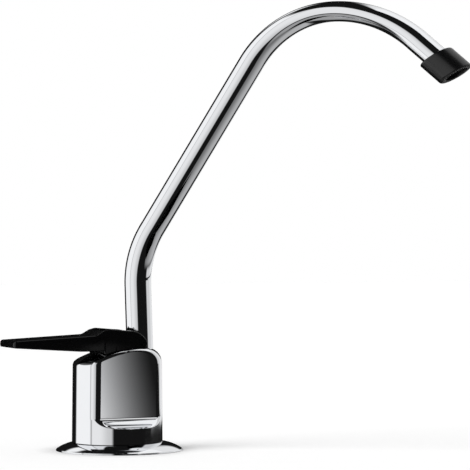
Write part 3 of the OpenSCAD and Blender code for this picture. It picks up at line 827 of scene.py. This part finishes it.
def make_lever(size):
    """The moulded lever: a rounded box section carried along it, with a slot between its arms."""
    u, top, bottom = lever_sides(size)
    past = np.clip(u - size.reach + size.tip_corner, 0, size.tip_corner)
    half = size.width / 2 - size.tip_corner + np.sqrt(size.tip_corner ** 2 - past ** 2)
    edge = np.minimum(size.edge, 0.45 * (top - bottom))[:, None]
    steps = 7
    quarter = np.linspace(0, np.pi / 2, steps)
    turn = np.concatenate([quarter + k * np.pi / 2 for k in range(4)])[None, :]
    corner_y = np.repeat([1, -1, -1, 1], steps)[None, :]
    corner_z = np.repeat([1, 1, -1, -1], steps)[None, :]
    y = corner_y * (half[:, None] - edge) + edge * np.cos(turn)
    z = np.where(corner_z > 0, top[:, None] - edge, bottom[:, None] + edge) + edge * np.sin(turn)
    piece = add_mesh("lever_moulding", points_at(-u[:, None], y, z), capped_faces(*y.shape))
    pivot_z = JOINTS["lever_flip"]["pos_m"][2]
    rock_x = JOINTS["lever_press"]["pos_m"][0]
    flip = math.radians(JOINTS["lever_flip"]["range_deg"][1])
    tube_front = 3.3 * MM
    slot_z = pivot_z + (size.slot_front + tube_front / math.cos(flip)) / math.tan(flip)
    far = 2 * size.reach
    slot = [
        [far, 0], [far, slot_z + far], [-size.slot_front - math.tan(flip) * far, slot_z + far],
        [-size.slot_front, slot_z], [-size.slot_front, 0],
    ]
    bar_w = size.width - 2 * MM
    hole_w = bar_w + 0.1 * MM
    snap = 0.44 * size.bar_d
    notch = [[-snap, size.arm_z - MM], [snap, size.arm_z - MM], [snap, pivot_z], [-snap, pivot_z]]
    return shape_with(piece, [
        ("UNION", across("rib_tool", circle(rock_x, pivot_z, size.rib_r), bar_w)),
        ("DIFFERENCE", across("slot_tool", slot, size.width - 2 * size.arm_t)),
        ("DIFFERENCE", across("bar_tool", circle(0, pivot_z, size.bar_d / 2), hole_w)),
        ("DIFFERENCE", across("notch_tool", notch, hole_w)),
    ])


def spout_path(size, step=0.5 * MM):
    """Centre line of the spout: its heading from upright changes evenly along each bend.

    Returns points [distance out, height] and headings. The heading is summed along the length.
    """
    foot_z = low("spout_tube")[2]
    ease = 2 * MM
    heading = np.array([0, 0, -size.lean, -size.lean, size.lower_bend - size.lean])
    heading = np.append(heading, [heading[-1], np.pi / 2, np.pi / 2 + size.fall, np.pi / 2 + size.fall])
    runs = [
        size.lean_z - ease - foot_z, 2 * ease, size.upright_z - size.lean_z - ease,
        size.lower_r * size.lower_bend, size.slope, size.rise_r * (np.pi / 2 - heading[4]),
        size.fall_r * size.fall, size.end,
    ]
    marks = np.concatenate([[0], np.cumsum(runs)])
    along = np.unique(np.concatenate([np.arange(0, marks[-1], step), marks]))
    turn = np.interp(along, marks, heading)
    middle = (turn[1:] + turn[:-1]) / 2
    steps = np.diff(along)[:, None] * points_at(np.sin(middle), np.cos(middle))
    points = np.concatenate([[[0, foot_z]], [0, foot_z] + np.cumsum(steps, axis=0)])
    return points, turn


def on_swivel(size, out, aside, z):
    """Points at distances out from and aside of the swivel axis, turned with the spout."""
    x = JOINTS["spout_swivel"]["pos_m"][0]
    c, s = math.cos(size.turn), math.sin(size.turn)
    return points_at(x + c * out - s * aside, s * out + c * aside, z)


def squeeze(size, heading):
    """Share of the tube's thickness that is left at a heading: length of (cos h, flatness times sin h)."""
    return np.hypot(np.cos(heading), size.flatness * np.sin(heading))


def make_tube(size):
    """Bent tube: an oval ring carried along the centre line, up its outside and back down its inside."""
    path, heading = spout_path(size)
    turn = around(72)[None, :]

    def wall(rows, r):
        h = heading[rows][:, None]
        lean = r * squeeze(size, h) * np.cos(turn)
        return on_swivel(
            size, path[rows, :1] + lean * np.cos(h), r * np.sin(turn), path[rows, 1:] - lean * np.sin(h)
        )

    rows = np.arange(len(path))
    lip = 0.2 * MM
    r = size.tube_d / 2
    inside = rows[::-1][::2]
    points = np.concatenate([
        wall(rows[:1], r - lip), wall(rows[1:-1], r), wall(rows[-1:], r - lip),
        wall(inside, r - size.tube_wall),
    ])
    return add_mesh("spout_pipe", points, grid_faces(len(points), turn.size, closed_rows=True), 40)


def make_cap(size):
    """Soft cap: an outline turned about the tube's end, with both ends sheared to the cap's slant.

    The outline's corners are given as radius, distance past the tube's end and rounding.
    """
    path, heading = spout_path(size)
    end, h = path[-1], heading[-1]
    r, mouth, e = size.cap_d / 2, size.mouth_d / 2, size.cap_edge
    room = 0.05 * MM
    bore = size.tube_d / 2 + room
    seat = 0.1 * MM
    corners = np.array([
        [bore, -size.cap_grip, 0.15 * MM],
        [r, -size.cap_grip, e],
        [r, size.cap_lip, e],
        [mouth, size.cap_lip, 0.4 * MM],
        [mouth, seat, 0.1 * MM],
        [bore, seat, 0.1 * MM],
    ])
    outline = refine(rounded(corners[:, :2], corners[:, 2], 8), 0.4 * MM)
    turn = around(96)[None, :]
    radius, z = outline[:, :1], outline[:, 1:]
    oval = 1 / np.hypot(np.cos(turn) / squeeze(size, h), np.sin(turn))
    snug = np.clip((r - e - radius) / (r - e - bore), 0, 1) * (z < seat + room)
    radius = radius * (1 + (oval - 1) * snug)
    inner, aside = radius * np.cos(turn), radius * np.sin(turn)
    z = z - inner * math.tan(size.cap_slant)
    out = end[0] + inner * math.cos(h) + z * math.sin(h)
    up = end[1] - inner * math.sin(h) + z * math.cos(h)
    points = on_swivel(size, out, aside, up)
    return add_mesh("outlet_sleeve", points, grid_faces(*points.shape[:2], closed_rows=True), 40)


def refine(outline, step):
    """A closed outline with points added so that none lie further apart than the step."""
    ring = np.concatenate([outline, outline[:1]])
    along = np.concatenate([[0], np.cumsum(np.linalg.norm(np.diff(ring, axis=0), axis=1))])
    marks = np.unique(np.concatenate([along[:-1], np.arange(0, along[-1], step)]))
    return points_at(np.interp(marks, along, ring[:, 0]), np.interp(marks, along, ring[:, 1]))


def make_shank(size):
    """Shank with a helical thread: its radius falls and rises once a pitch, a turn further on each pitch."""
    r = radius_of("shank")
    thread_r = r - size.nut_gap
    bottom, seat_z = heights("shank")
    water, inlet = size.water_d / 2, size.inlet_d / 2
    start_z, end_z = -size.plain, bottom + size.bevel
    rows = np.linspace(start_z, end_z, 330)
    profile = np.concatenate([
        [[water, seat_z], [water + size.seat_w / 2, seat_z], [water + size.seat_w, size.engage_z]],
        [[thread_r - size.bevel, size.engage_z], [thread_r, size.engage_z - size.bevel], [thread_r, 0]],
        [[r, 0], [r, start_z]],
        points_at(thread_r, rows)[1:],
        [[thread_r - size.bevel, bottom], [inlet, bottom]],
        [[inlet, bottom + size.inlet_depth], [water, bottom + size.inlet_depth]],
    ])

    crest, steepness = 0.15, 1.25

    def thread(radius, z, turn):
        wave = np.abs((z / size.pitch + turn / (2 * np.pi)) % 1 * 2 - 1)
        cut = np.clip(steepness * wave - crest, 0, 1) * size.depth
        fade = np.clip((start_z - z) / size.pitch, 0, 1) * np.clip((z - end_z) / size.pitch, 0, 1)
        return radius - np.where(radius > inlet + 0.5 * size.bevel, cut * fade, 0)

    return lathe("shank_screw", profile, 72, radius=thread, sharp=50)


def make_nut(name, node, bores):
    """Six-sided nut: the lesser of the hexagon's radius and a cone at each end, round a stepped bore."""
    bottom, top = heights(node)
    flat = span(node)[1] / 2
    bevel = 1 * MM
    levels = np.concatenate([np.linspace(bottom, bottom + bevel, 8), np.linspace(top - bevel, top, 8)])
    profile = np.concatenate([points_at(2 * flat, levels), bores])

    def hexagon(radius, z, turn):
        side = flat / np.cos((turn + np.pi / 6) % (np.pi / 3) - np.pi / 6)
        cone = flat + 2 * np.minimum(z - bottom, top - z)
        return np.where(radius > flat, np.minimum(side, cone), radius)

    return lathe(name, profile, 144, radius=hexagon, sharp=25)


def make_washer(name, node, hole_r, edge, radius=None):
    """Flat ring with softened edges."""
    bottom, top = heights(node)
    out = max(span(node)[:2]) / 2
    corners = [[hole_r, bottom], [out, bottom], [out, top], [hole_r, top]]
    return lathe(name, rounded(corners, edge, 5), 192, radius=radius, sharp=45)


def make_lock_washer(size, hole_r):
    """Lock washer whose rim is notched between its teeth by round cuts."""
    out = radius_of("lock_washer")
    notch = size.notch_d / 2

    def teeth(radius, z, turn):
        pitch = 2 * np.pi / size.lock_teeth
        off = (turn + pitch / 2) % pitch - pitch / 2
        inside = notch ** 2 - (out * np.sin(off)) ** 2
        rim = np.where(inside > 0, out * np.cos(off) - np.sqrt(np.maximum(inside, 0)), out)
        return np.where(radius > (hole_r + out) / 2, np.minimum(radius, rim), radius)

    return make_washer("lock_ring", "lock_washer", hole_r, edge=0.12 * MM, radius=teeth)


def make_spring(size):
    """Closing spring: a round wire on a helix, with its ends drawn in to a point."""
    bottom, top = heights("valve_spring")
    wire = size.wire_d / 2
    mean_r = radius_of("valve_spring") - wire
    steps = 60 * size.coils
    along = np.linspace(0, 1, steps)[:, None]
    ring = around(14)[None, :]
    thick = wire * np.sqrt(np.clip(np.minimum(along, 1 - along) * steps / 2, 0.05, 1))
    turn = 2 * np.pi * size.coils * along
    r = mean_r + thick * np.cos(ring)
    z = bottom + wire + (top - bottom - 2 * wire) * along + thick * np.sin(ring)
    points = points_at(r * np.cos(turn), r * np.sin(turn), z)
    return add_mesh("closing_spring", points, capped_faces(*points.shape[:2]))


class TAP_OT_body(bpy.types.Operator):
    """Builds the cast body with its mirror panels"""

    bl_idname = "tap.body"
    bl_label = "Body"

    def execute(self, context):
        fit(make_body(context.scene.tap_body), "body")
        return {"FINISHED"}


class TAP_OT_base_plate(bpy.types.Operator):
    """Builds the domed base plate"""

    bl_idname = "tap.base_plate"
    bl_label = "Base plate"

    def execute(self, context):
        fit(make_base_plate(context.scene.tap_body), "base_plate")
        return {"FINISHED"}


class TAP_OT_lever(bpy.types.Operator):
    """Builds the moulded lever"""

    bl_idname = "tap.lever"
    bl_label = "Lever"

    def execute(self, context):
        fit(make_lever(context.scene.tap_lever), "lever")
        return {"FINISHED"}


class TAP_OT_spout(bpy.types.Operator):
    """Builds the bent spout tube and the cap on its end"""

    bl_idname = "tap.spout"
    bl_label = "Spout"

    def execute(self, context):
        size = context.scene.tap_spout
        fit(make_tube(size), "spout_tube")
        fit(make_cap(size), "outlet_cap")
        return {"FINISHED"}


class TAP_OT_deck_clamp(bpy.types.Operator):
    """Builds the threaded shank, its nuts and its washers"""

    bl_idname = "tap.deck_clamp"
    bl_label = "Deck clamp"

    def execute(self, context):
        size = context.scene.tap_clamp
        hole_r = radius_of("shank") + size.washer_gap
        thread_r = radius_of("shank") + size.nut_gap
        clamp_low, clamp_high = heights("clamp_nut")
        inlet_low, inlet_high = heights("inlet_nut")
        inlet_r = size.inlet_d / 2 + size.nut_gap
        inlet_floor = inlet_low + size.nut_floor
        clamp_bore = [[thread_r, clamp_high], [thread_r, clamp_low]]
        inlet_bore = [
            [thread_r, inlet_high], [thread_r, inlet_floor], [inlet_r, inlet_floor], [inlet_r, inlet_low]
        ]
        fit(make_shank(size), "shank")
        fit(make_nut("clamp_hex", "clamp_nut", clamp_bore), "clamp_nut")
        fit(make_nut("inlet_hex", "inlet_nut", inlet_bore), "inlet_nut")
        fit(make_washer("deck_ring", "deck_washer", hole_r, edge=0.5 * MM), "deck_washer")
        fit(make_lock_washer(size, hole_r), "lock_washer")
        return {"FINISHED"}


class TAP_OT_valve(bpy.types.Operator):
    """Builds the valve's spring and gives the frame's own pieces their finishes"""

    bl_idname = "tap.valve"
    bl_label = "Valve"

    def execute(self, context):
        spring = fit(make_spring(context.scene.tap_clamp), "valve_spring")
        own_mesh(spring)
        for node, piece in frame["nodes"].items():
            if not piece.hide_render:
                dress(piece, node)
        return {"FINISHED"}


def add_plane(name, corners, material):
    """A flat stage piece with these four corners."""
    mesh = bpy.data.meshes.new(name)
    mesh.from_pydata(corners, [], [[0, 1, 2, 3]])
    mesh.materials.append(material)
    plane = link(name, mesh)
    return plane


def only_in_mirrors(card):
    """Hides a card from everything but reflections."""
    card.visible_camera = False
    card.visible_diffuse = False
    card.visible_shadow = False
    card.visible_transmission = False


def floor_finish(studio):
    """White floor: matt white that takes the shadow, and a glow darkened by ambient occlusion close to what stands
    on it, a painted contact shadow.
    """
    tree = new_finish("studio_floor")
    white = studio.floor_white
    # Painted contact shadow: ambient occlusion, raised to a power, darkens the glow next to the tap
    open_sky = tree.node("ShaderNodeAmbientOcclusion", sockets={"Distance": studio.contact}, output="AO")
    painted_contact_shadow = open_sky.math("POWER", open_sky, studio.contact_fade)
    glow = tree.node("ShaderNodeEmission", sockets={"Color": painted_contact_shadow, "Strength": studio.floor_glow})
    matt = tree.node("ShaderNodeBsdfDiffuse", sockets={"Color": (white, white, white, 1)})
    return tree.end(tree.node("ShaderNodeAddShader", sockets=[glow, matt]))


def card_glow(studio):
    """The panel card's light, brightest in the lower corner that lies nearest the lever.

    The brightness that a screen shows falls evenly across and up the card, and the light is a power of it.
    """
    tree = new_finish("panel_glow")
    place = tree.node("ShaderNodeTexCoord", output="UV")
    aside, up = (tree.node("ShaderNodeSeparateXYZ", sockets=[place], output=axis) for axis in "XY")
    shown = studio.card_corner - aside * studio.card_aside - up * studio.card_up
    shown = shown.math("MAXIMUM", shown, studio.card_least)
    light = shown.math("POWER", shown, SCREEN_POWER) * studio.card_light
    return tree.end(tree.node("ShaderNodeEmission", sockets={"Color": light, "Strength": 1.0}))


def hood_cloth():
    """Black that throws no light back."""
    tree = new_finish("hood_black")
    return tree.end(tree.node("ShaderNodeEmission", sockets={"Strength": 0.0}))


def panel_card(size, studio, eye):
    """Card that fills the near panel's reflection: the panel's corners, mirrored away from the camera."""
    flat = size.across_flats / 2
    half = math.sqrt((size.foot_d / 2) ** 2 - flat ** 2)
    share = (studio.card_y - flat) / (-flat - eye[1])
    corners = np.array([[-half, size.panel_z], [half, size.panel_z], [half, size.top_z], [-half, size.top_z]])
    corners = corners + (corners - eye[[0, 2]]) * share
    points = np.insert(corners, 1, -studio.card_y, axis=1)
    card = add_plane("panel_card", points, card_glow(studio))
    card.data.uv_layers.new().data.foreach_set("uv", [0, 0, 1, 0, 1, 1, 0, 1])
    hood = points[[3, 2, 2, 3]] + [0, 0, studio.hood_gap]
    hood[2:, 1] += studio.hood_depth
    hood[:, 0] += studio.hood_side * np.array([-1, 1, 1, -1])
    for piece in (card, add_plane("card_hood", hood, hood_cloth())):
        only_in_mirrors(piece)


def camera_axes(studio):
    """Level directions from the tap toward the camera and to the camera's right."""
    c, s = math.cos(studio.azimuth), math.sin(studio.azimuth)
    return np.array([s, -c, 0]), np.array([c, s, 0])


def set_world(studio, room):
    """White for the camera, a plain fill for matt surfaces, and lights in a dark room for mirrors.

    A bearing is an angle to the right of the camera and a lift an angle above the level, in degrees.
    """
    world = bpy.data.worlds.new("studio")
    bpy.context.scene.world = world
    tree = ShaderTree(world)
    way = tree.node("ShaderNodeTexCoord", output="Generated")

    def along(direction):
        """How far the way looked points in a direction, from -1 to 1."""
        sockets = {0: way, 1: direction}
        return tree.node("ShaderNodeVectorMath", {"operation": "DOT_PRODUCT"}, sockets, output="Value")

    toward, right, up = (along(direction) for direction in (*camera_axes(studio), (0, 0, 1)))
    degrees = 180 / math.pi
    bearing = right.math("ARCTAN2", right, toward) * degrees
    lift = up.math("ARCSINE", up) * degrees

    def above(value, edge, soft):
        """0 below an edge and 1 above it, with a soft step between."""
        return tree.step(value, edge - soft, edge + soft)

    def band(value, start, end, soft):
        """1 between two soft edges and 0 outside them."""
        return above(value, start, soft) * (1 - above(value, end, soft))

    # Left box: its roof falls and its light fades toward the camera, and a dark seam parts it
    left_foot, left_roof = room.left_lifts
    roof_fall = above(bearing, edge=-36, soft=14) * 20
    left_box = band(bearing, *room.left_ends, soft=4) * band(lift, left_foot, left_roof - roof_fall, soft=4)
    side_fade = above(bearing, edge=-66, soft=5) * 0.12
    near_fade = above(bearing, edge=-30, soft=15) * 0.25
    seam_fade = band(bearing, *room.seam_ends, soft=2) * 0.55
    left_box = left_box * (room.left_light - side_fade - near_fade) * (1 - seam_fade)

    # Right box: it reaches further back when low or high, and starts later and has a dark line near the level
    right_start, right_end = room.right_ends
    line_foot, line_roof = room.line_lifts
    low_reach = (1 - above(lift, edge=1, soft=2)) * 12
    high_reach = above(lift, edge=18, soft=6) * 10
    late_start = band(lift, line_foot, end=-2.7, soft=0.15) * 20
    line_fall = above(bearing, edge=136, soft=24) * 0.43
    line = band(lift, line_foot, line_roof - line_fall, soft=0.1)
    back_gain = above(bearing, edge=118, soft=8) * 0.15
    right_box = band(bearing, right_start + late_start, right_end + low_reach + high_reach, soft=5)
    right_box = right_box * above(lift, edge=-13, soft=3) * (room.right_light + back_gain) * (1 - line)

    # Top box, whose roof rises on the right, and a small box behind the tap
    top_foot, top_roof = room.top_lifts
    roof_rise = above(bearing, edge=79, soft=7) * 40
    top_box = band(bearing, *room.top_ends, soft=6) * band(lift, top_foot, top_roof + roof_rise, soft=4)
    back_box = band(bearing, *room.back_ends, soft=4) * band(lift, *room.back_lifts, soft=3)

    # Table: its edge lies higher on the right, where it ends sooner, and its light changes from left to right
    table_start, table_end = room.table_ends
    table_lift = -46
    edge_rise = above(bearing, edge=40, soft=14) * 31
    early_end = above(lift, edge=-40, soft=4) * 38
    table = band(bearing, table_start, table_end - early_end, soft=5)
    table = table * (1 - above(lift, table_lift + edge_rise, soft=4))
    front_fade = above(bearing, edge=15, soft=15) * 0.2
    right_gain = above(bearing, edge=75, soft=45) * 0.32
    light = left_box + table * (room.table_light - front_fade + right_gain)

    for box in (right_box, top_box, back_box):
        light = light.math("MAXIMUM", light, box)
    rays = ("Is Camera Ray", "Is Glossy Ray")
    camera, mirror = (tree.node("ShaderNodeLightPath", output=ray) for ray in rays)
    matt = (1 - camera) * (1 - mirror)
    level = camera + mirror * (light + room.dark) + matt * studio.fill
    shader = tree.node("ShaderNodeBackground", sockets={"Color": level, "Strength": 1.0})
    tree.node("ShaderNodeOutputWorld", sockets={"Surface": shader})


class TAP_OT_stage(bpy.types.Operator):
    """Builds the camera, the floor, the cards, the light and the room"""

    bl_idname = "tap.stage"
    bl_label = "Stage"

    def execute(self, context):
        scene = context.scene
        studio = scene.tap_studio
        toward, right = camera_axes(studio)
        eye = toward * studio.distance + right * studio.aside + [0, 0, studio.height]
        camera = link("camera", bpy.data.cameras.new("camera"))
        camera.location = eye
        camera.rotation_euler = (math.pi / 2, 0, studio.azimuth)
        camera.data.lens = studio.lens
        camera.data.sensor_width = studio.sensor
        camera.data.clip_start = 10 * MM
        camera.data.clip_end = 20
        scene.camera = camera
        half = studio.floor_size / 2
        corners = [[-half, -half, 0], [half, -half, 0], [half, half, 0], [-half, half, 0]]
        floor = add_plane("floor", corners, floor_finish(studio))
        floor.visible_glossy = False
        panel_card(scene.tap_body, studio, eye)
        key = link("key_light", bpy.data.lights.new("key_light", "SUN"))
        key.data.energy = studio.key_power
        key.data.angle = studio.key_size
        source = toward * studio.key_near - right * studio.key_left + [0, 0, 1]
        lean = math.atan2(math.hypot(source[0], source[1]), source[2])
        key.rotation_euler = (lean, 0, math.atan2(source[1], source[0]) + math.pi / 2)
        key.visible_glossy = False
        set_world(studio, scene.tap_room)
        scene.view_settings.view_transform = "Standard"
        return {"FINISHED"}


PIECES = (
    TAP_OT_body,
    TAP_OT_base_plate,
    TAP_OT_lever,
    TAP_OT_spout,
    TAP_OT_deck_clamp,
    TAP_OT_valve,
    TAP_OT_stage,
)
SETTINGS = {
    "tap_body": TapBodySizes,
    "tap_lever": TapLeverSizes,
    "tap_spout": TapSpoutSizes,
    "tap_clamp": TapClampSizes,
    "tap_colours": TapColours,
    "tap_studio": TapStudio,
    "tap_room": TapRoom,
}


class TAP_PT_pieces(bpy.types.Panel):
    """Lists the tap's pieces and their sizes"""

    bl_idname = "TAP_PT_pieces"
    bl_label = "Drinking water filter tap"
    bl_space_type = "VIEW_3D"
    bl_region_type = "UI"
    bl_category = "Tap"

    def draw(self, context):
        for piece in PIECES:
            self.layout.operator(piece.bl_idname)
        for name, group in SETTINGS.items():
            box = self.layout.box()
            box.label(text=group.__doc__)
            for size in group.__annotations__:
                box.prop(getattr(context.scene, name), size)


def register():
    """Adds the operators, the panel and the settings to Blender."""
    for group in SETTINGS.values():
        bpy.utils.register_class(group)
    for name, group in SETTINGS.items():
        setattr(bpy.types.Scene, name, PointerProperty(type=group))
    for kind in (*PIECES, TAP_PT_pieces):
        bpy.utils.register_class(kind)


def unregister():
    """Takes them out again."""
    for kind in (TAP_PT_pieces, *PIECES):
        bpy.utils.unregister_class(kind)
    for name, group in SETTINGS.items():
        delattr(bpy.types.Scene, name)
        bpy.utils.unregister_class(group)


def main():
    """Builds every piece in order."""
    register()
    bpy.ops.tap.body()
    bpy.ops.tap.base_plate()
    bpy.ops.tap.lever()
    bpy.ops.tap.spout()
    bpy.ops.tap.deck_clamp()
    bpy.ops.tap.valve()
    bpy.ops.tap.stage()


if __name__ == "__main__":
    main()
